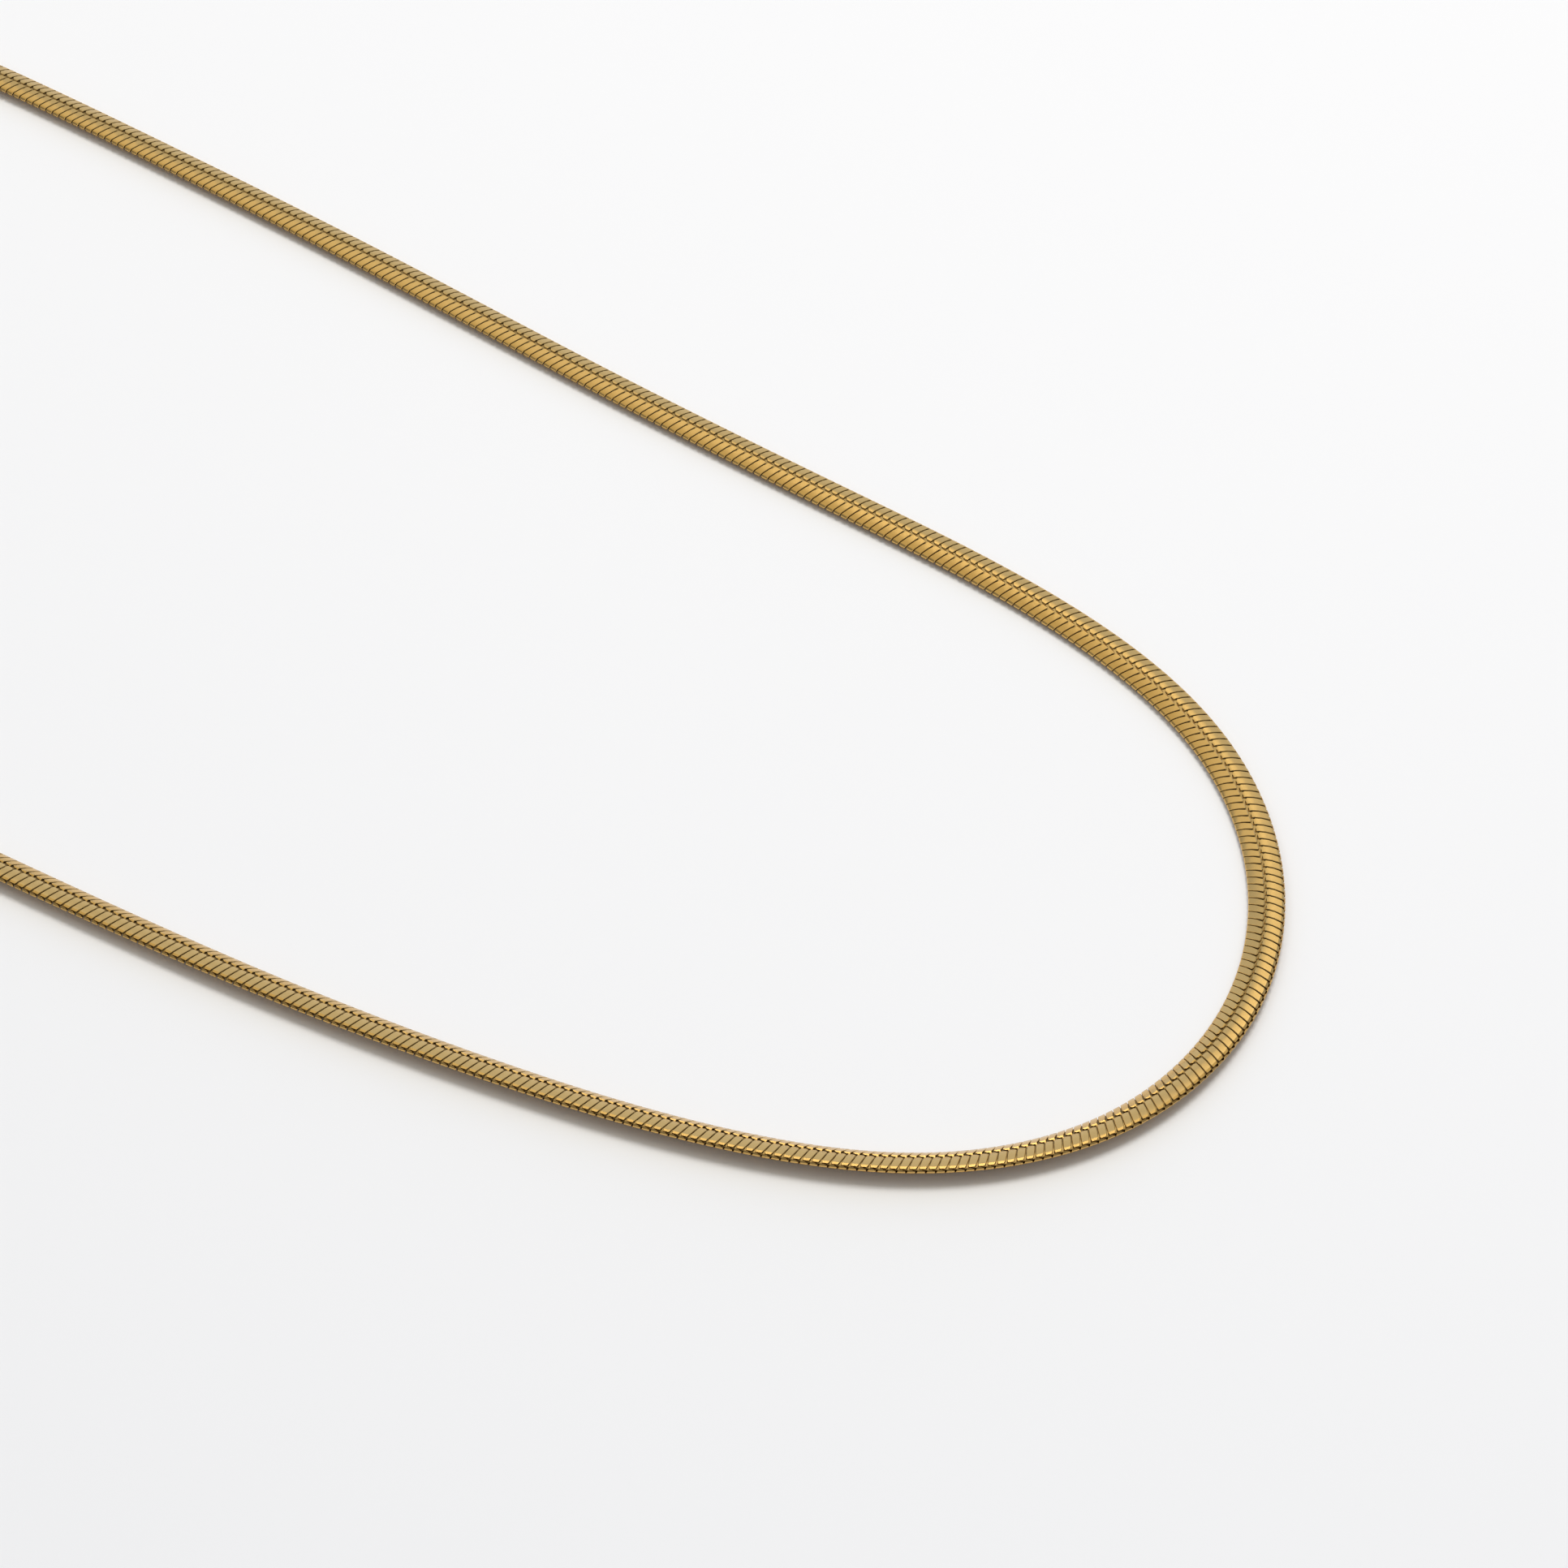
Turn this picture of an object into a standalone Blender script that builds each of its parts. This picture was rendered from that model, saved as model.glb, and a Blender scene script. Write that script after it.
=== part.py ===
"""A flat snake chain necklace, fastened, lying in a long loop on a table.

The chain is one band of oval section. It follows a closed route, drawn to the loop's length,
and rolls about its own axis on the way. A plain box clasp at the back takes both of its ends
in oval sockets.
"""

import math

import bmesh
import bpy
import numpy as np
from mathutils import Vector

MM = 0.001

# Driving dimensions in millimetres
LOOP_LENGTH = 460.5
CHAIN_WIDTH = 3.0
CHAIN_THICKNESS = 1.08
SECTION_SIDES = 16
# An odd count puts a section at the foot of the front bend, the loop's lowest point.
BAND_SECTIONS = 125
STRETCH_STEPS = 60

FIT_GAP = 0.3
SOCKET_DEPTH = 2.8
CLASP_WALL = 0.6
CLASP_CORE = 6.4
CLASP_CORNER = 0.9
CORNER_STEPS = 4
COLLAR_LENGTH = 1.4
COLLAR_STEP = 0.25
EDGE_CHAMFER = 0.2

# The chain comes out of its socket level and sinks to the table over this length.
LEVEL_LENGTH = 1.5
SINK_LENGTH = 24.0

# The route of the chain's centre line, seen from above and followed anticlockwise from the
# middle of the clasp: x, y and the chain's roll in degrees, positive with its outer edge raised.
# The curve through these points is then drawn to LOOP_LENGTH.
ROUTE = [
    (0.0, 94.5, 0),
    (-8.7, 94.5, 0),
    (-20.8, 91.1, 1),
    (-30.4, 82.8, 4),
    (-35.9, 70.2, 8),
    (-37.5, 48.2, 13),
    (-37.2, 22.2, 17),
    (-36.6, -3.8, 20),
    (-35.6, -27.8, 23),
    (-33.3, -49.6, 26),
    (-29.5, -68.2, 28),
    (-22.5, -83.6, 28),
    (-12.1, -92.7, 23),
    (1.5, -95.3, 14),
    (14.6, -90.8, 9),
    (24.9, -80.1, 7),
    (30.4, -64.1, 5),
    (32.3, -42.2, 1),
    (33.7, -16.2, -4),
    (35.7, 9.7, -7),
    (36.9, 31.6, -9),
    (37.5, 50.5, -10),
    (35.8, 70.2, -7),
    (30.1, 82.8, -3),
    (20.4, 91.1, -1),
    (8.5, 94.5, 0),
]

# Sizes that follow from the driving dimensions
CLASP_LENGTH = CLASP_CORE + 2 * SOCKET_DEPTH
CLASP_WIDTH = CHAIN_WIDTH + 2 * FIT_GAP + 2 * CLASP_WALL
CLASP_HEIGHT = CHAIN_THICKNESS + 2 * FIT_GAP + 2 * CLASP_WALL


def clear_scene():
    """Remove the objects that a new file opens with."""
    for thing in list(bpy.data.objects):
        bpy.data.objects.remove(thing)


def metal(name, colour, roughness):
    """A metallic material with one colour."""
    finish = bpy.data.materials.new(name)
    finish.use_nodes = True
    shader = finish.node_tree.nodes["Principled BSDF"]
    shader.inputs["Base Color"].default_value = (*colour, 1.0)
    shader.inputs["Metallic"].default_value = 1.0
    shader.inputs["Roughness"].default_value = roughness
    return finish


def oval(grow):
    """The chain's oval section in millimetres, grown by a gap: points (across, up)."""
    half_width = CHAIN_WIDTH / 2 + grow
    half_height = CHAIN_THICKNESS / 2 + grow
    angles = [2 * math.pi * i / SECTION_SIDES for i in range(SECTION_SIDES)]
    return [(half_width * math.cos(a), half_height * math.sin(a)) for a in angles]


def smooth_loop(points, steps):
    """Points along the smooth closed curve through the given points, steps to each stretch."""
    points = np.array(points, dtype=float)
    count = len(points)
    ahead = np.roll(points, -1, axis=0) - points
    chord = np.hypot(ahead[:, 0], ahead[:, 1])
    slope = ahead / chord[:, None]
    system = np.zeros((count, count))
    wanted = np.zeros_like(points)
    for i in range(count):
        before = i - 1
        after = (i + 1) % count
        system[i, before] += 1 / chord[before]
        system[i, i] += 2 / chord[before] + 2 / chord[i]
        system[i, after] += 1 / chord[i]
        wanted[i] = 3 * (slope[before] / chord[before] + slope[i] / chord[i])
    tangent = np.linalg.solve(system, wanted)

    curve = []
    for i in range(count):
        after = (i + 1) % count
        for t in np.arange(steps) / steps:
            curve.append(
                (2 * t**3 - 3 * t**2 + 1) * points[i]
                + (t**3 - 2 * t**2 + t) * chord[i] * tangent[i]
                + (3 * t**2 - 2 * t**3) * points[after]
                + (t**3 - t**2) * chord[i] * tangent[after]
            )
    curve.append(points[0])
    return np.array(curve)


def resting_height(roll):
    """How high the section's centre lies when the section, rolled in degrees, touches z = 0."""
    turn = math.radians(roll)
    return max(-(x * math.sin(turn) + z * math.cos(turn)) for x, z in oval(0))


def full_route():
    """The closed route drawn to LOOP_LENGTH: its points x, y, roll, and how far along each is."""
    curve = smooth_loop(ROUTE, STRETCH_STEPS)
    steps = np.hypot(*np.diff(curve[:, :2], axis=0).T)
    along = np.concatenate([[0], np.cumsum(steps)])
    draw = LOOP_LENGTH / along[-1]
    curve[:, :2] *= draw
    return curve, along * draw


def chain_stations():
    """Where the band's sections stand: x, y, z in millimetres and the roll in degrees."""
    curve, along = full_route()
    first = CLASP_CORE / 2 + FIT_GAP
    stations = []
    for place in np.linspace(first, LOOP_LENGTH - first, BAND_SECTIONS):
        x, y, roll = [np.interp(place, along, curve[:, axis]) for axis in range(3)]
        from_clasp = min(place, LOOP_LENGTH - place) - CLASP_LENGTH / 2 - LEVEL_LENGTH
        share = min(max(from_clasp / SINK_LENGTH, 0), 1)
        level = 0.5 + 0.5 * math.cos(math.pi * share)
        rest = resting_height(roll)
        stations.append((x, y, rest + level * (CLASP_HEIGHT / 2 - rest), roll))
    return stations


def make_section_guide():
    """The closed oval that the band's curve carries along; a guide that is never shown.

    Its points run clockwise, so that the band's faces point outwards.
    """
    curve = bpy.data.curves.new("section_guide", "CURVE")
    curve.dimensions = "2D"
    outline = curve.splines.new("POLY")
    points = oval(0)[::-1]
    outline.points.add(len(points) - 1)
    for point, (x, z) in zip(outline.points, points):
        point.co = (x * MM, z * MM, 0, 1)
    outline.use_cyclic_u = True
    guide = bpy.data.objects.new("section_guide", curve)
    bpy.context.collection.objects.link(guide)
    guide.hide_render = True
    guide.display_type = "WIRE"
    return guide


def make_chain(finish):
    """The chain's band: an oval carried along the route, tilted by the roll, with closed ends."""
    curve = bpy.data.curves.new("chain", "CURVE")
    curve.dimensions = "3D"
    curve.twist_mode = "Z_UP"
    curve.bevel_mode = "OBJECT"
    curve.bevel_object = make_section_guide()
    curve.use_fill_caps = True
    stations = chain_stations()
    line = curve.splines.new("POLY")
    line.points.add(len(stations) - 1)
    for point, (x, y, z, roll) in zip(line.points, stations):
        point.co = (x * MM, y * MM, z * MM, 1)
        point.tilt = -math.radians(roll)
    line.use_smooth = True
    curve.materials.append(finish)
    chain = bpy.data.objects.new("chain", curve)
    bpy.context.collection.objects.link(chain)
    return chain


def clasp_outline(inset):
    """The clasp's end outline: round corners, drawn in at the top and sides, flat at z = 0."""
    half = CLASP_WIDTH / 2 - inset
    top = CLASP_HEIGHT - inset
    radius = CLASP_CORNER - inset
    corners = [
        (half - radius, top - radius, 0),
        (radius - half, top - radius, 90),
        (radius - half, CLASP_CORNER, 180),
        (half - radius, CLASP_CORNER, 270),
    ]
    outline = []
    for y, z, start in corners:
        reach = CLASP_CORNER if start >= 180 else radius
        for step in range(CORNER_STEPS + 1):
            turn = math.radians(start + 90 * step / CORNER_STEPS)
            outline.append((y + radius * math.cos(turn), z + reach * math.sin(turn)))
    return outline


def make_socket_cutter(side):
    """An oval plug, a gap bigger than the chain all round, at one end of the clasp."""
    mesh = bpy.data.meshes.new("socket_cutter")
    cutter = bmesh.new()
    mouth = side * (CLASP_LENGTH / 2 + FIT_GAP)
    end = side * CLASP_CORE / 2
    rim = [
        cutter.verts.new((mouth * MM, y * MM, (z + CLASP_HEIGHT / 2) * MM))
        for y, z in oval(FIT_GAP)
    ]
    face = cutter.faces.new(rim)
    pushed = bmesh.ops.extrude_face_region(cutter, geom=[face])
    moved = [v for v in pushed["geom"] if isinstance(v, bmesh.types.BMVert)]
    bmesh.ops.translate(cutter, verts=moved, vec=Vector(((end - mouth) * MM, 0, 0)))
    bmesh.ops.recalc_face_normals(cutter, faces=cutter.faces)
    cutter.to_mesh(mesh)
    cutter.free()
    plug = bpy.data.objects.new("socket_cutter", mesh)
    bpy.context.collection.objects.link(plug)
    plug.hide_render = True
    plug.display_type = "WIRE"
    return plug


def make_clasp(finish):
    """A plain box clasp with a collar round each socket and a flat underside."""
    half = CLASP_LENGTH / 2
    rings = [
        (-half, EDGE_CHAMFER),
        (EDGE_CHAMFER - half, 0),
        (COLLAR_LENGTH - half, 0),
        (COLLAR_LENGTH + COLLAR_STEP - half, COLLAR_STEP),
        (half - COLLAR_LENGTH - COLLAR_STEP, COLLAR_STEP),
        (half - COLLAR_LENGTH, 0),
        (half - EDGE_CHAMFER, 0),
        (half, EDGE_CHAMFER),
    ]
    body = bmesh.new()
    loops = []
    for x, inset in rings:
        loops.append([body.verts.new((x * MM, y * MM, z * MM)) for y, z in clasp_outline(inset)])
    for near, far in zip(loops, loops[1:]):
        for i in range(len(near)):
            after = (i + 1) % len(near)
            body.faces.new((near[i], near[after], far[after], far[i]))
    body.faces.new(loops[0])
    body.faces.new(loops[-1])
    bmesh.ops.recalc_face_normals(body, faces=body.faces)
    mesh = bpy.data.meshes.new("clasp")
    body.to_mesh(mesh)
    body.free()
    mesh.shade_smooth()
    mesh.set_sharp_from_angle(angle=math.radians(35))
    mesh.materials.append(finish)
    clasp = bpy.data.objects.new("clasp", mesh)
    bpy.context.collection.objects.link(clasp)
    back = full_route()[0][0]
    clasp.location = (back[0] * MM, back[1] * MM, 0)
    for side in (-1, 1):
        cutter = make_socket_cutter(side)
        cutter.parent = clasp
        cut = clasp.modifiers.new("socket", "BOOLEAN")
        cut.object = cutter
    return clasp


def main():
    clear_scene()
    make_chain(metal("brushed_gold", (0.78, 0.56, 0.24), 0.35))
    make_clasp(metal("plain_gold", (0.80, 0.58, 0.26), 0.25))


main()
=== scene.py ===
# %% [markdown]
# # A flat snake chain on a white table
#
# The necklace is a loop of flat snake chain with a plain box clasp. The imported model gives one
# smooth oval band for the chain and a solid clasp. This script lays more than six hundred real
# links along the same route in place of the band, finishes the metal, and lights it.
#
# Everything is in metres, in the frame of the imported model.

# %% Load the fixed frame
import math

import bpy
import numpy as np
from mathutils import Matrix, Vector


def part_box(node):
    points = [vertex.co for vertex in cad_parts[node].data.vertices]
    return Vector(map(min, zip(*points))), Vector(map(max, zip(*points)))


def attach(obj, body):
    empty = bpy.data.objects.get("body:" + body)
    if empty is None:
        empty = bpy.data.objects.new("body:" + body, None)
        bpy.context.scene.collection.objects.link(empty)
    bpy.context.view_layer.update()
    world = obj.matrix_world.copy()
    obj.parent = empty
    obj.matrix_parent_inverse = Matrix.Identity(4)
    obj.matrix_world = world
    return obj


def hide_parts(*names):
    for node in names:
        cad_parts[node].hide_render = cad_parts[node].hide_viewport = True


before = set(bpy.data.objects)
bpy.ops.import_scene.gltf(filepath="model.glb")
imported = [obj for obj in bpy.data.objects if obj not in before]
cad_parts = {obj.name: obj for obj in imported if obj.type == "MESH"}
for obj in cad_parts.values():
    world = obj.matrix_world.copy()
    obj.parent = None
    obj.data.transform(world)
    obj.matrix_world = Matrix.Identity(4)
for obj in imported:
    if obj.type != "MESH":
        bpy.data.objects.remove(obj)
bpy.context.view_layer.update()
MM = 0.001
print("The frame holds", ", ".join(sorted(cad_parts)))

# %% [markdown]
# ## The route of the chain
#
# A chain lying on a table is a flat curve with a little roll: its outer edge rides up a few
# degrees here and dips there. A route could be traced in many points, but a few well placed ones
# are easier to change, so the band was modelled from a short list of points and the links use
# the same list.

# %% The route's points and the chain's sizes
LOOP_LENGTH = 460.5 * MM
CHAIN_WIDTH = 3.0 * MM
CHAIN_THICKNESS = 1.08 * MM
CLASP_CORE = 6.4 * MM
CLASP_LENGTH = 12.0 * MM
CLASP_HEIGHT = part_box("clasp")[1].z
# The chain leaves its socket level and sinks to the table over these lengths.
LEVEL_LENGTH = 1.5 * MM
SINK_LENGTH = 24.0 * MM
# The plates stand a little out of the band, so the chain is lifted by this much.
LIP_RISE = 0.018 * MM

# x and y in metres, and the roll in degrees, positive with the outer edge raised
ROUTE = [
    (0.0000, 0.0945, 0),
    (-0.0087, 0.0945, 0),
    (-0.0208, 0.0911, 1),
    (-0.0304, 0.0828, 4),
    (-0.0359, 0.0702, 8),
    (-0.0375, 0.0482, 13),
    (-0.0372, 0.0222, 17),
    (-0.0366, -0.0038, 20),
    (-0.0356, -0.0278, 23),
    (-0.0333, -0.0496, 26),
    (-0.0295, -0.0682, 28),
    (-0.0225, -0.0836, 28),
    (-0.0121, -0.0927, 23),
    (0.0015, -0.0953, 14),
    (0.0146, -0.0908, 9),
    (0.0249, -0.0801, 7),
    (0.0304, -0.0641, 5),
    (0.0323, -0.0422, 1),
    (0.0337, -0.0162, -4),
    (0.0357, 0.0097, -7),
    (0.0369, 0.0316, -9),
    (0.0375, 0.0505, -10),
    (0.0358, 0.0702, -7),
    (0.0301, 0.0828, -3),
    (0.0204, 0.0911, -1),
    (0.0085, 0.0945, 0),
]
print(f"The route has {len(ROUTE)} points, and the loop is {LOOP_LENGTH / MM:.1f} mm long")

# %% [markdown]
# ## A smooth curve through the points
#
# A real chain never turns sharply, because each link bends only a little against the next. A
# Bezier curve with automatic handles would be smooth too, but its length is hard to read. So the
# curve is worked out here: at each point the slopes and the bends of both sides agree, as in a
# thin bent rod, and the whole is then drawn to the loop's length.

# %% The curve and the places on it
STRETCH_STEPS = 60


def smooth_loop(points, steps):
    """Points along the smooth closed curve through the given points, steps to each stretch."""
    points = np.array(points, dtype=float)
    count = len(points)
    ahead = np.roll(points, -1, axis=0) - points
    chord = np.hypot(ahead[:, 0], ahead[:, 1])
    slope = ahead / chord[:, None]
    system = np.zeros((count, count))
    wanted = np.zeros_like(points)
    for i in range(count):
        before = i - 1
        after = (i + 1) % count
        system[i, before] += 1 / chord[before]
        system[i, i] += 2 / chord[before] + 2 / chord[i]
        system[i, after] += 1 / chord[i]
        wanted[i] = 3 * (slope[before] / chord[before] + slope[i] / chord[i])
    tangent = np.linalg.solve(system, wanted)

    curve = []
    for i in range(count):
        after = (i + 1) % count
        for t in np.arange(steps) / steps:
            curve.append(
                (2 * t**3 - 3 * t**2 + 1) * points[i]
                + (t**3 - 2 * t**2 + t) * chord[i] * tangent[i]
                + (3 * t**2 - 2 * t**3) * points[after]
                + (t**3 - t**2) * chord[i] * tangent[after]
            )
    curve.append(points[0])
    return np.array(curve)


def resting_height(roll):
    """How high the oval section's centre lies when the section, rolled in degrees, rests."""
    turn = math.radians(roll)
    return math.hypot(CHAIN_WIDTH / 2 * math.sin(turn), CHAIN_THICKNESS / 2 * math.cos(turn))


def route_places(first, last, count):
    """Evenly spaced places on the route: x, y, z in metres and the roll in degrees."""
    curve = smooth_loop(ROUTE, STRETCH_STEPS)
    steps = np.hypot(*np.diff(curve[:, :2], axis=0).T)
    along = np.concatenate([[0], np.cumsum(steps)])
    draw = LOOP_LENGTH / along[-1]
    curve[:, :2] *= draw
    along *= draw
    places = []
    for place in np.linspace(first, last, count):
        x, y, roll = [np.interp(place, along, curve[:, axis]) for axis in range(3)]
        from_clasp = min(place, LOOP_LENGTH - place) - CLASP_LENGTH / 2 - LEVEL_LENGTH
        share = min(max(from_clasp / SINK_LENGTH, 0), 1)
        level = 0.5 + 0.5 * math.cos(math.pi * share)
        rest = resting_height(roll) + LIP_RISE
        places.append((x, y, rest + level * (CLASP_HEIGHT / 2 - rest), roll))
    return places


print(f"Lying flat, the chain has its centre {resting_height(0) / MM:.2f} mm above the table")

# %% [markdown]
# ## The camera
#
# The photograph looks down at the loop from one side, about fifty degrees above the table, with
# a long lens. A long lens far away keeps the two strands nearly the same width. The camera looks
# past the middle of the loop, so that the two strands enter the frame at its left edge and the
# front bend lies well inside it.

# %% Place the camera
CAMERA_PLACE = (-0.2673, -0.2166, 0.3783)
CAMERA_DOWN = 50.05
CAMERA_HEADING = 31.196
LENS = 139.98
SENSOR = 36.0
NEAREST_SEEN = 10 * MM

bpy.ops.object.select_all(action="DESELECT")
bpy.ops.object.camera_add(
    location=CAMERA_PLACE,
    rotation=(math.radians(90 - CAMERA_DOWN), 0, math.radians(CAMERA_HEADING - 90)),
)
camera = bpy.context.object
camera.name = "camera"
camera.data.lens = LENS
camera.data.sensor_width = SENSOR
camera.data.clip_start = NEAREST_SEEN
bpy.context.scene.camera = camera
print(f"Camera {Vector(CAMERA_PLACE).length / MM:.0f} mm from the middle of the loop")

# %% [markdown]
# ## One link
#
# Seen from above, the chain shows two rows of flat slanting plates that meet along the middle,
# the one row half a step ahead of the other. The outer row's plates are short: each starts with
# a round end in the seam, runs out over the crowned face to a crisp edge, and bevels down to the
# side. The inner row's plates are long: each starts with a raised lip in the seam, with a narrow
# hook at its end, and wraps right round the side. Turned over, the chain looks just the same, so
# below each short plate a long one comes up round the side and shows there as a rounded lobe.
#
# A plate could be traced as a curve with a bevel, but its width changes at every turn, so it is
# extruded: a five-cornered section is carried from station to station, and is turned and
# narrowed on the way. The stations are two short tables, as shares of the half width, the half
# thickness and the pitch, so that the link keeps its form when a size changes.

# %% The link's stations
LINK_COUNT = 620
CLASP_SOCKET_GAP = 0.3 * MM
CHAIN_START = CLASP_CORE / 2 + CLASP_SOCKET_GAP
CHAIN_RUN = LOOP_LENGTH - 2 * CHAIN_START
PITCH = CHAIN_RUN / LINK_COUNT
HALF_WIDTH = CHAIN_WIDTH / 2
HALF_THICKNESS = CHAIN_THICKNESS / 2

# out: share of the half width; up: share of the half thickness; turn: degrees from facing up;
# wide and ahead: shares of the pitch; dark: how far the station lies in the shade of its
# neighbours, painted into the colour as shade; sharp: whether a crisp edge runs round the plate
# there
SHORT_PLATE = [
    dict(name="end", out=-0.015, up=0.730, turn=-60, wide=0.32, ahead=-0.14, dark=0.7),
    dict(name="tip", out=0.035, up=0.905, turn=-25, wide=0.60, ahead=-0.08, dark=0.1),
    dict(name="face start", out=0.160, up=0.970, turn=4, wide=0.88, ahead=-0.02, dark=0),
    dict(name="face middle", out=0.480, up=0.840, turn=12, wide=0.90, ahead=-0.23, dark=0),
    dict(name="face end", out=0.835, up=0.530, turn=24, wide=0.84, ahead=-0.50, dark=0, sharp=True),
    dict(name="bevel end", out=0.935, up=0.310, turn=44, wide=0.64, ahead=-0.58, dark=0),
    dict(name="tuck", out=0.880, up=0.080, turn=120, wide=0.66, ahead=-0.59, dark=0.9),
]
LONG_PLATE = [
    dict(name="hook", out=-0.020, up=0.660, turn=-40, wide=0.18, ahead=0.72, dark=0.4),
    dict(name="hook top", out=0.060, up=0.875, turn=-38, wide=0.22, ahead=0.72, dark=0),
    dict(name="lip end", out=0.070, up=0.900, turn=-36, wide=0.54, ahead=0.56, dark=0),
    dict(name="lip top", out=0.135, up=1.015, turn=-12, wide=0.80, ahead=0.45, dark=0),
    dict(name="face middle", out=0.480, up=0.870, turn=12, wide=0.90, ahead=0.80, dark=0),
    dict(name="face end", out=0.850, up=0.550, turn=22, wide=0.90, ahead=1.16, dark=0),
    dict(name="shoulder", out=0.933, up=0.420, turn=38, wide=0.88, ahead=1.24, dark=0),
    dict(name="high side", out=0.974, up=0.260, turn=58, wide=0.85, ahead=1.27, dark=0),
    dict(name="low side", out=0.990, up=0.100, turn=78, wide=0.78, ahead=1.27, dark=0.1),
    dict(name="side end", out=0.955, up=-0.180, turn=108, wide=0.46, ahead=1.10, dark=0.25),
]
print(f"{LINK_COUNT} links, one every {PITCH / MM:.4f} mm")

# %% [markdown]
# ## Working in edit mode
#
# An operator acts on whatever is selected, as it does by hand. A few helpers keep that in order:
# they clear the selection, pick vertices by a test on their place, turn what is selected about
# the chain, and apply a piece's modifiers.


# %% Helpers for the selection
def deselect_all():
    """Leave nothing selected, so that the next operator acts on the new piece alone."""
    bpy.ops.object.select_all(action="DESELECT")


def make_active(thing):
    """Select one object alone."""
    deselect_all()
    thing.select_set(True)
    bpy.context.view_layer.objects.active = thing


def select_vertices(thing, wanted):
    """In edit mode, select the vertices that pass the test, and no others."""
    bpy.ops.mesh.select_all(action="DESELECT")
    bpy.ops.object.mode_set(mode="OBJECT")
    for vertex in thing.data.vertices:
        vertex.select = bool(wanted(vertex))
    bpy.ops.object.mode_set(mode="EDIT")


def apply_modifiers(thing):
    """Apply the piece's modifiers in order."""
    make_active(thing)
    for modifier in list(thing.modifiers):
        bpy.ops.object.modifier_apply(modifier=modifier.name)


def turn_about_chain(degrees, centre):
    """Turn the selection about the chain's own direction; without a window the sign is reversed."""
    bpy.ops.transform.rotate(
        value=-math.radians(degrees), orient_axis="X", center_override=centre
    )


# %% [markdown]
# ## Carry the section from station to station
#
# The real plate is bent from flat strip with softened edges. Its section starts as a plane: the
# two upper corners are cut, and the two lower ones are merged into a foot that stays hidden. Five
# corners are enough for a soft edge, and few enough for six hundred links. From there each
# station is one extrusion, one turn and one change of width.

# %% Extrude the two plates
PLATE_DEPTH = 0.22 * MM
PLATE_EDGE = 0.04 * MM
SECTION_CORNERS = 5
FOOT_LEVEL = -0.4 * PLATE_DEPTH


def station_place(station, side):
    """The middle of the strip's outer surface at a station, in the straight chain."""
    return Vector((
        station["ahead"] * PITCH,
        side * station["out"] * HALF_WIDTH,
        station["up"] * HALF_THICKNESS,
    ))


def start_section(name, side, start):
    """The section at a plate's first station, left in edit mode and selected all over."""
    deselect_all()
    bpy.ops.mesh.primitive_plane_add(size=1, location=(0, 0, 0))
    plate = bpy.context.object
    plate.name = name
    plate.scale = (PITCH, PLATE_DEPTH, 1)
    bpy.ops.object.transform_apply(location=False, rotation=False, scale=True)

    bpy.ops.object.mode_set(mode="EDIT")
    bpy.ops.mesh.select_mode(type="VERT")
    select_vertices(plate, lambda v: v.co.y > 0)
    bpy.ops.mesh.bevel(offset=PLATE_EDGE, affect="VERTICES")
    select_vertices(plate, lambda v: v.co.y < FOOT_LEVEL)
    bpy.ops.mesh.merge(type="CENTER")

    bpy.ops.mesh.select_all(action="SELECT")
    bpy.ops.transform.translate(value=(0, -PLATE_DEPTH / 2, 0))
    bpy.ops.transform.resize(value=(start["wide"], 1, 1), center_override=(0, 0, 0))
    turn_about_chain(90 - side * start["turn"], Vector())
    bpy.ops.transform.translate(value=station_place(start, side))
    return plate


def make_plate(name, stations, side):
    """One plate of a link: side is -1 for the loop's outer row and 1 for its inner row."""
    plate = start_section(name, side, stations[0])
    bpy.ops.mesh.select_mode(type="FACE")
    for before, station in zip(stations, stations[1:]):
        place = station_place(station, side)
        step = place - station_place(before, side)
        bpy.ops.mesh.extrude_region_move(TRANSFORM_OT_translate={"value": step})
        turn_about_chain(side * (before["turn"] - station["turn"]), place)
        wider = station["wide"] / before["wide"]
        bpy.ops.transform.resize(value=(wider, 1, 1), center_override=place)
    bpy.ops.mesh.select_all(action="SELECT")
    bpy.ops.mesh.normals_make_consistent(inside=False)

    bpy.ops.mesh.select_mode(type="VERT")
    crisp = [i for i, station in enumerate(stations) if station.get("sharp")]
    select_vertices(plate, lambda v: v.index // SECTION_CORNERS in crisp)
    bpy.ops.mesh.mark_sharp()
    bpy.ops.object.mode_set(mode="OBJECT")
    # The dark column is kept as the shade note, which the material paints as shade.
    shade = [station["dark"] for station in stations for corner in range(SECTION_CORNERS)]
    plate.data.attributes.new("shade", "FLOAT", "POINT").data.foreach_set("value", shade)
    return plate


short_plate = make_plate("short_plate", SHORT_PLATE, -1)
long_plate = make_plate("long_plate", LONG_PLATE, 1)
for plate in (short_plate, long_plate):
    corners = [v.co / MM for v in plate.data.vertices]
    low = [round(min(c[i] for c in corners), 3) for i in range(3)]
    high = [round(max(c[i] for c in corners), 3) for i in range(3)]
    print(plate.name, len(plate.data.polygons), "faces, from", low, "to", high, "mm")

# %% [markdown]
# ## Both sides of the link
#
# The real link is closed round the chain, and its underside is its top turned over. The
# underside could be modelled again, but a copy turned half round about the chain is exact. The
# two plates are joined first, so that one copy makes the whole link. Gentle turns are shaded
# smooth, and the sharper ones keep their edges.

# %% Join the two plates and turn a copy to the underside
UNDERSIDE_AHEAD = -0.02 * PITCH
PLATE_CREASE = 30

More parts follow.
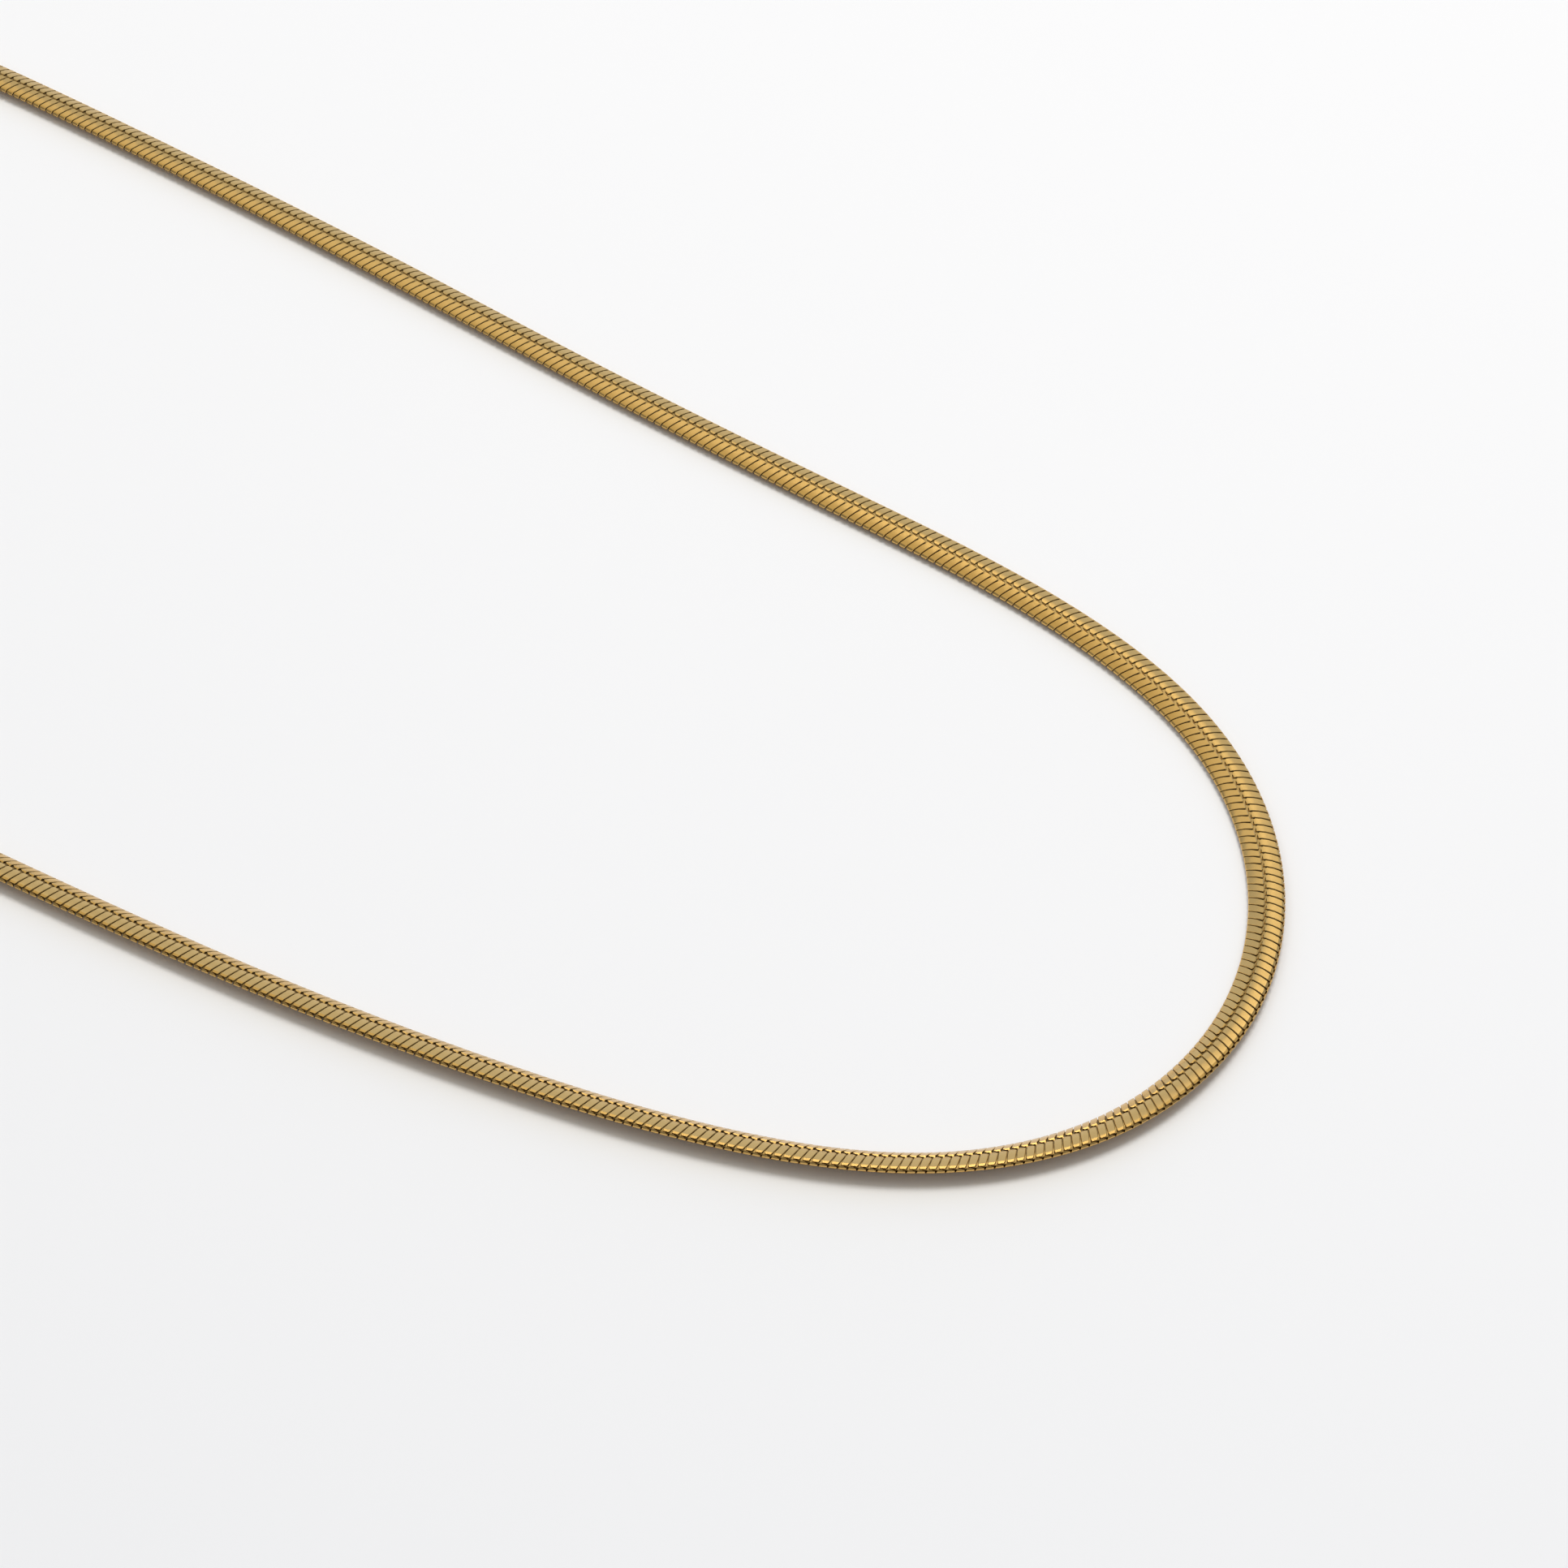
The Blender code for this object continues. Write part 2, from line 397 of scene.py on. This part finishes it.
deselect_all()
short_plate.select_set(True)
long_plate.select_set(True)
bpy.context.view_layer.objects.active = short_plate
bpy.ops.object.join()
links = bpy.context.object
links.name = "chain_links"
bpy.ops.object.mode_set(mode="EDIT")
bpy.ops.mesh.select_all(action="SELECT")
bpy.ops.mesh.duplicate_move(TRANSFORM_OT_translate={"value": (UNDERSIDE_AHEAD, 0, 0)})
turn_about_chain(180, Vector())
bpy.ops.object.mode_set(mode="OBJECT")
bpy.ops.object.shade_smooth_by_angle(angle=math.radians(PLATE_CREASE))
print("One link has", len(links.data.polygons), "faces")

# %% [markdown]
# ## Where shade is painted
#
# The grooves between the plates lie in shade, and their metal is duller. Real light darkens them,
# but here their shade is also painted into the colour. Where it falls follows from the shape: each
# corner notes how deep it lies below the chain's oval, or how far its station lies in its
# neighbours' shade, whichever is more. The note is an attribute of the mesh, so every copy of the
# link keeps it and the material can read it.

# %% Note how deep each corner lies, for the painted shade
GROOVE_START = 0.06
GROOVE_DEPTH = 0.28
MIDDLE_SHADE = 0.5

# The shade note darkens the plates' colour in the material: painted shade.
shade = links.data.attributes["shade"]
for vertex, note in zip(links.data.vertices, shade.data):
    out = vertex.co.y / HALF_WIDTH
    up = vertex.co.z / HALF_THICKNESS
    depth = (1 - math.hypot(out, up) - GROOVE_START) / GROOVE_DEPTH
    note.value = min(max(note.value, depth, 0), 1)
print(sum(note.value > MIDDLE_SHADE for note in shade.data), "corners lie deep in the grooves")

# %% [markdown]
# ## The path of the links
#
# The links are made along a straight line, where they are easy to model, and bent afterwards. A
# Curve modifier does that, and the curve that it follows is built here. It is a curve object
# whose points carry the roll as their tilt, so that the rows roll over just as the band does.

# %% A curve object along the route
PATH_POINTS = 700


def make_path(name, places):
    """A curve through the places, tilted by the roll, with its up side kept upwards."""
    curve = bpy.data.curves.new(name, "CURVE")
    curve.dimensions = "3D"
    curve.twist_mode = "Z_UP"
    line = curve.splines.new("POLY")
    line.points.add(len(places) - 1)
    for point, (x, y, z, roll) in zip(line.points, places):
        point.co = (x, y, z, 1)
        point.tilt = -math.radians(roll)
    path = bpy.data.objects.new(name, curve)
    bpy.context.collection.objects.link(path)
    return path


path = make_path("chain_path", route_places(CHAIN_START, LOOP_LENGTH - CHAIN_START, PATH_POINTS))
print("The path has", len(path.data.splines[0].points), "points")

# %% [markdown]
# ## More than six hundred links
#
# The chain is the same link over and over. Copies in a loop would work, but an Array makes them
# in one step, and the Curve modifier lays the whole row on the path. Both are applied, which
# leaves one joined mesh. The last links at each end would lie in the clasp's sockets, out of
# sight, so they are left out.

# %% Repeat the link and lay the row on the route
END_LINKS = 2

make_active(links)
bpy.ops.object.mode_set(mode="EDIT")
bpy.ops.mesh.select_all(action="SELECT")
bpy.ops.transform.translate(value=((END_LINKS + 0.5) * PITCH, 0, 0))
bpy.ops.object.mode_set(mode="OBJECT")

array = links.modifiers.new("repeat", "ARRAY")
array.use_relative_offset = False
array.use_constant_offset = True
array.constant_offset_displace = (PITCH, 0, 0)
array.count = LINK_COUNT - 2 * END_LINKS
lay = links.modifiers.new("lay", "CURVE")
lay.object = path
lay.deform_axis = "POS_X"
apply_modifiers(links)
print("The chain has", len(links.data.polygons), "faces")

# %% [markdown]
# ## The core inside the links
#
# Between real plates one sees more metal, not the table. The plates could be made deeper until
# they meet, but then their feet would cross. A plain oval core inside the links closes the
# gaps instead. It is the same route with a small oval as its bevel, made a mesh.

# %% Carry an oval along the route
CORE_SHARE = 0.88
CORE_THICKNESS_SHARE = 0.70
CORE_SIDES = 12
CORE_POINTS = 240
CORE_CREASE = 40
MERGE_DISTANCE = 0.001 * MM


def make_core():
    """The oval tube inside the links."""
    deselect_all()
    bpy.ops.curve.primitive_bezier_circle_add(radius=1)
    oval = bpy.context.object
    oval.scale = (HALF_WIDTH * CORE_SHARE, HALF_THICKNESS * CORE_THICKNESS_SHARE, 1)
    bpy.ops.object.transform_apply(location=False, rotation=False, scale=True)
    oval.data.resolution_u = CORE_SIDES // 4
    start = CHAIN_START + CLASP_SOCKET_GAP
    places = route_places(start, LOOP_LENGTH - start, CORE_POINTS)
    core = make_path("chain_core", places)
    core.data.bevel_mode = "OBJECT"
    core.data.bevel_object = oval
    core.data.use_fill_caps = True
    make_active(core)
    bpy.ops.object.convert(target="MESH")
    core = bpy.context.object
    bpy.ops.object.mode_set(mode="EDIT")
    bpy.ops.mesh.select_all(action="SELECT")
    bpy.ops.mesh.remove_doubles(threshold=MERGE_DISTANCE)
    bpy.ops.mesh.normals_make_consistent(inside=False)
    bpy.ops.object.mode_set(mode="OBJECT")
    bpy.ops.object.shade_smooth_by_angle(angle=math.radians(CORE_CREASE))
    bpy.data.objects.remove(oval)
    return core


core = make_core()
bpy.data.objects.remove(path)
print("The core has", len(core.data.polygons), "faces")

# %% [markdown]
# ## Words for building a finish
#
# A finish is a small graph of nodes. It could be wired up one link at a time, but shader maths
# reads best as expressions. So one small class wraps a socket and turns + and * into Math nodes,
# and another adds any other node with its settings and inputs in one line.


# %% Sockets that can be added and multiplied
class Wire:
    """A node socket that Python operators join with Math nodes."""

    def __init__(self, maker, socket):
        self.maker = maker
        self.socket = socket

    def math(self, operation, first, second):
        """A Math node on two values."""
        return self.maker.node("Math", dict(operation=operation), {0: first, 1: second})

    def __add__(self, other):
        return self.math("ADD", self, other)

    def __mul__(self, other):
        return self.math("MULTIPLY", self, other)

    __radd__ = __add__
    __rmul__ = __mul__


class Graph:
    """A node tree and the few words that build it."""

    def __init__(self, tree):
        self.tree = tree

    def put(self, socket, value):
        """Give a socket a number or a colour, or link it."""
        if isinstance(value, Wire):
            self.tree.links.new(value.socket, socket)
        else:
            socket.default_value = value

    def node(self, kind, settings, inputs, output=0):
        """A node: its settings first, then its inputs, and one of its outputs as a Wire."""
        made = self.tree.nodes.new("ShaderNode" + kind)
        for key, value in settings.items():
            setattr(made, key, value)
        for key, value in inputs.items():
            self.put(made.inputs[key], value)
        return Wire(self, made.outputs[output])

    def mix(self, factor, low, high):
        """A colour between two colours."""
        return self.node("Mix", dict(data_type="RGBA"), {0: factor, 6: low, 7: high}, output=2)


class Finish(Graph):
    """A new material, built from its shader's sockets."""

    def __init__(self, name):
        self.material = bpy.data.materials.new(name)
        self.material.use_nodes = True
        super().__init__(self.material.node_tree)
        self.shader = self.tree.nodes["Principled BSDF"]

    def set(self, **values):
        """Set the shader's own sockets; an underscore in a name stands for a space."""
        for key, value in values.items():
            self.put(self.shader.inputs[key.replace("_", " ")], value)

    def noise(self, size, detail):
        """A soft unevenness over the piece, with spots of about the given size."""
        place = self.node("TexCoord", {}, {}, output="Object")
        return self.node("TexNoise", {}, {"Vector": place, "Scale": 1 / size, "Detail": detail})


# %% [markdown]
# ## Satin gold for the plates
#
# The plates are gold with a fine satin surface: a grain too small to see, which spreads the
# light, and a slight unevenness from link to link. An image could carry the grain, but noise on
# the piece's own coordinates has no seam and no limit of detail. The note made above then leads
# from open gold to the painted shade of the grooves, a dark colour, with rougher gold there too.

# %% The gold of the plates
GOLD = (0.69, 0.441, 0.148, 1)
GOLD_WARM = (0.65, 0.405, 0.128, 1)
# Painted shade: the colour of the grooves, mixed in by the shade note.
PAINTED_GROOVE_SHADE = (0.36, 0.24, 0.085, 1)
GRAIN_SIZE = 0.05 * MM
GRAIN_RISE = 0.002 * MM
PATCH_SIZE = 1.1 * MM
PATCH_RISE = 0.02 * MM
NOISE_DETAIL = 2.0
SATIN_BUMP = 0.5
SATIN_ROUGHNESS = 0.13
UNEVEN_ROUGHNESS = 0.06
GROOVE_ROUGHNESS = 0.3


def satin_gold():
    """Fine satin gold, with painted shade and rougher gold in the grooves, slightly uneven from
    link to link.
    """
    gold = Finish("satin_gold")
    shade = gold.node("Attribute", dict(attribute_name="shade"), {}, output="Fac")
    grain = gold.noise(GRAIN_SIZE, NOISE_DETAIL)
    patch = gold.noise(PATCH_SIZE, NOISE_DETAIL)
    uneven = grain * UNEVEN_ROUGHNESS + patch * UNEVEN_ROUGHNESS
    fine = gold.node(
        "Bump", {}, {"Strength": SATIN_BUMP, "Distance": GRAIN_RISE, "Height": grain}
    )
    broad = gold.node(
        "Bump",
        {},
        {"Strength": SATIN_BUMP, "Distance": PATCH_RISE, "Height": patch, "Normal": fine},
    )
    # The shade note mixes in the groove colour as painted shade, and raises the roughness.
    gold.set(
        Base_Color=gold.mix(shade, gold.mix(patch, GOLD, GOLD_WARM), PAINTED_GROOVE_SHADE),
        Metallic=1.0,
        Roughness=uneven + SATIN_ROUGHNESS + shade * GROOVE_ROUGHNESS,
        Normal=broad,
    )
    return gold.material


def dress(piece, finish):
    """Give a piece one finish."""
    piece.data.materials.clear()
    piece.data.materials.append(finish)
    print(piece.name, "is", finish.name)


dress(links, satin_gold())

# %% [markdown]
# ## Dull gold with painted shade for the core
#
# Deep between the plates the metal lies in shade and is duller. The core could share the plates'
# gold, but then it would flash through the gaps, so it gets a rougher one, with painted shade in
# its darker colour.

# %% The dull gold of the core, with painted shade
# Painted shade: the core's colours stand for the shade deep between the plates.
PAINTED_DEEP_SHADE = (0.28, 0.185, 0.065, 1)
CORE_ROUGHNESS = 0.45
CORE_UNEVEN_ROUGHNESS = 0.1


def painted_shade_groove_gold():
    """Gold darkened with painted shade, seen only between the plates."""
    gold = Finish("painted_shade_groove_gold")
    patch = gold.noise(PATCH_SIZE, NOISE_DETAIL)
    gold.set(
        Base_Color=gold.mix(patch, PAINTED_GROOVE_SHADE, PAINTED_DEEP_SHADE),
        Metallic=1.0,
        Roughness=patch * CORE_UNEVEN_ROUGHNESS + CORE_ROUGHNESS,
    )
    return gold.material


dress(core, painted_shade_groove_gold())

# %% [markdown]
# ## The clasp
#
# The clasp is a plain box with a collar at each end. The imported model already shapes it, and
# modelling it again would add nothing, so it stays and only gets its finish: polished gold with
# a few faint rubs.

# %% Polished gold for the clasp
RUB_SIZE = 1.0 * MM
RUB_RISE = 0.01 * MM
RUB_DETAIL = 5.0
RUB_BUMP = 0.3
POLISH_ROUGHNESS = 0.10
RUB_ROUGHNESS = 0.14


def polished_gold():
    """Smooth gold with faint rubs from handling."""
    gold = Finish("polished_gold")
    rubs = gold.noise(RUB_SIZE, RUB_DETAIL)
    gold.set(
        Base_Color=gold.mix(rubs, GOLD, GOLD_WARM),
        Metallic=1.0,
        Roughness=rubs * RUB_ROUGHNESS + POLISH_ROUGHNESS,
        Normal=gold.node("Bump", {}, {"Strength": RUB_BUMP, "Distance": RUB_RISE, "Height": rubs}),
    )
    return gold.material


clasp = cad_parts["clasp"]
clasp_finish = polished_gold()
for slot in clasp.material_slots:
    slot.material = clasp_finish
print(clasp.name, "is", clasp_finish.name)

# %% [markdown]
# ## The table
#
# The necklace lies on a plain white surface with no edge in sight. A curved backdrop is usual
# behind a bigger object, but a flat sheet is enough here, as the camera looks steeply down.

# %% Lay the white table
FLOOR_SIZE = 6.0
TABLE_WHITE = (0.905, 0.902, 0.912, 1)
TABLE_ROUGHNESS = 0.6

deselect_all()
bpy.ops.mesh.primitive_plane_add(size=FLOOR_SIZE, location=(0, 0, 0))
floor = bpy.context.object
floor.name = "floor"
white = Finish("white_table")
white.set(Base_Color=TABLE_WHITE, Roughness=TABLE_ROUGHNESS)
floor.data.materials.append(white.material)
print(f"The table is {FLOOR_SIZE:.0f} m wide")

# %% [markdown]
# ## The lamps
#
# Metal shows what it mirrors, so the lamps are placed for their reflections. A wide warm soft
# box hangs above and ahead: its far edge is a little more degrees from upright than the camera
# is on the other side, so plates that lie level catch it. A small strong lamp ahead and to the
# right gives the shadow its edge along the chain. A dim panel at the left shines in the plates
# that lean that way. A single lamp would be simpler, but it would leave most plates dark.
#
# A lamp's energy is worked out from its area, so that its brightness in a reflection stays the
# same when its size changes.

# %% Hang the lamps
# Heights, distances and sizes in metres, and the soft box's edges in degrees from upright
LAMP_HEIGHT = 0.77
SOFT_BOX_FAR = 43.0
SOFT_BOX_NEAR = 15.0
SOFT_BOX_SIDE = 45.0
SOFT_BOX_RADIANCE = 0.40
SOFT_BOX_COLOUR = (1.0, 0.88, 0.50)
KEY_AHEAD = 0.23
KEY_RIGHT = 0.155
KEY_SIZE = 0.36
KEY_RADIANCE = 10.6
KEY_COLOUR = (1.0, 0.985, 0.95)
PANEL_AHEAD = 0.07
PANEL_RIGHT = -0.34
PANEL_SIZE = 0.30
PANEL_RADIANCE = 1.5
PANEL_COLOUR = (1.0, 1.0, 1.0)

heading = math.radians(CAMERA_HEADING)
forward = Vector((math.cos(heading), math.sin(heading), 0))
rightward = Vector((math.sin(heading), -math.cos(heading), 0))


def reach(degrees):
    """How far from straight overhead a lamp hangs to be seen at this angle from upright."""
    return LAMP_HEIGHT * math.tan(math.radians(degrees))


def hang_lamp(name, ahead, right, size, radiance, colour, shape):
    """A flat lamp facing down; ahead and right are as the camera looks."""
    place = forward * ahead + rightward * right + Vector((0, 0, LAMP_HEIGHT))
    bpy.ops.object.light_add(type="AREA", location=place, rotation=(0, 0, heading))
    lamp = bpy.context.object
    lamp.name = name
    lamp.data.shape = shape
    lamp.data.size, lamp.data.size_y = size
    area = size[0] * size[1]
    if shape == "ELLIPSE":
        area *= math.pi / 4
    lamp.data.energy = radiance * math.pi * area
    lamp.data.color = colour
    print(f"{name}: {size[0]:.2f} by {size[1]:.2f} m, {lamp.data.energy:.2f} W")


box_size = (reach(SOFT_BOX_FAR) + reach(SOFT_BOX_NEAR), 2 * reach(SOFT_BOX_SIDE))
box_ahead = (reach(SOFT_BOX_FAR) - reach(SOFT_BOX_NEAR)) / 2
key_size = (KEY_SIZE, KEY_SIZE)
panel_size = (PANEL_SIZE, PANEL_SIZE)
hang_lamp("soft_box", box_ahead, 0, box_size, SOFT_BOX_RADIANCE, SOFT_BOX_COLOUR, "RECTANGLE")
hang_lamp("key_lamp", KEY_AHEAD, KEY_RIGHT, key_size, KEY_RADIANCE, KEY_COLOUR, "ELLIPSE")
hang_lamp(
    "side_panel", PANEL_AHEAD, PANEL_RIGHT, panel_size, PANEL_RADIANCE, PANEL_COLOUR, "RECTANGLE"
)

# %% [markdown]
# ## The room
#
# Plates that lean away from the camera mirror the room beyond the table. There it is bright and
# cool, as with daylight, and elsewhere dim and nearly grey. An image of a room could give this,
# but two colours and a soft step between them are enough for plates this small.

# %% The pale room
ROOM_ROUND = (0.30, 0.31, 0.33, 1)
ROOM_AHEAD = (0.80, 0.91, 1.19, 1)
# The cosines of the angle from straight ahead between which the one colour turns into the other
AHEAD_FROM = 0.20
AHEAD_FULL = 0.95


def pale_room():
    """A grey room with a cool bright side ahead of the camera."""
    world = bpy.data.worlds.new("room")
    world.use_nodes = True
    room = Graph(world.node_tree)
    place = room.node("TexCoord", {}, {}, output="Generated")
    ahead = room.node(
        "VectorMath", dict(operation="DOT_PRODUCT"), {0: place, 1: forward}, output="Value"
    )
    share = room.node(
        "MapRange",
        {},
        {"Value": ahead, "From Min": AHEAD_FROM, "From Max": AHEAD_FULL},
        output="Result",
    )
    background = room.tree.nodes["Background"]
    room.put(background.inputs["Color"], room.mix(share, ROOM_ROUND, ROOM_AHEAD))
    return world


bpy.context.scene.world = pale_room()
bpy.context.scene.view_settings.view_transform = "Standard"
print("The world is", bpy.context.scene.world.name)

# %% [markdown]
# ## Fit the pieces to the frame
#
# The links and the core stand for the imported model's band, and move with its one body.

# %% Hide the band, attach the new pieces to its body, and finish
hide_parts("chain")
for piece in (links, core):
    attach(piece, "root")

bpy.context.view_layer.update()
